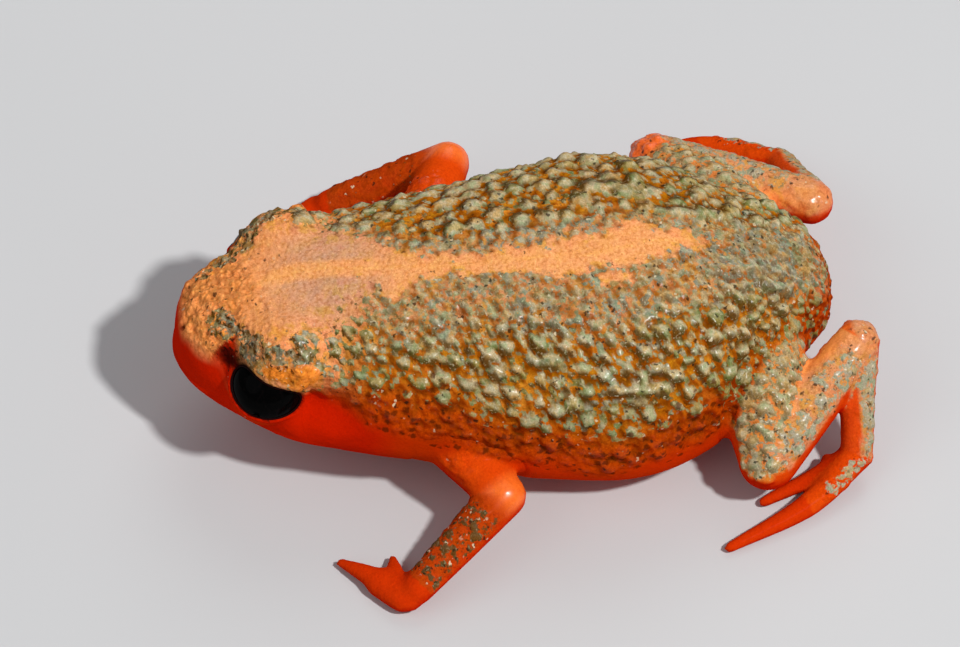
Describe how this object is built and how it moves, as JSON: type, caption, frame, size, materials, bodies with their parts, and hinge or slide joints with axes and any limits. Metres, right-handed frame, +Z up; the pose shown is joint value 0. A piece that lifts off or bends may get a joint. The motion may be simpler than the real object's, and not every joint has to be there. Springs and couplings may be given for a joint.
{
  "type": "brachycephalus verrucosus frog",
  "caption": "Tiny warty frog at rest with head raised and hind legs folded, a still life-size figure that stands on a flat surface.",
  "frame": {"origin": "middle of the bounding box at its bottom, on the surface that the frog rests on", "axes": "+Z up, -Y towards the snout, +X towards the frog's left side"},
  "size_m": [0.0092, 0.0116, 0.0039],
  "materials": {
    "back": "wet warty skin, grey-green on ochre with an orange stripe",
    "snout": "wet finely grained skin, orange",
    "limb": "wet smooth skin, red-orange with grey speckles",
    "eye": "polished black"
  },
  "bodies": {
    "root": {"head": "snout", "torso": "back", "eye_left": "eye", "eye_right": "eye", "upper_arm_left": "limb", "upper_arm_right": "limb", "forearm_left": "limb", "forearm_right": "limb", "hand_left": "limb", "hand_right": "limb", "thigh_left": "limb", "thigh_right": "limb", "shank_left": "limb", "shank_right": "limb", "tarsus_left": "limb", "tarsus_right": "limb", "foot_left": "limb", "foot_right": "limb"}
  },
  "joints": []
}
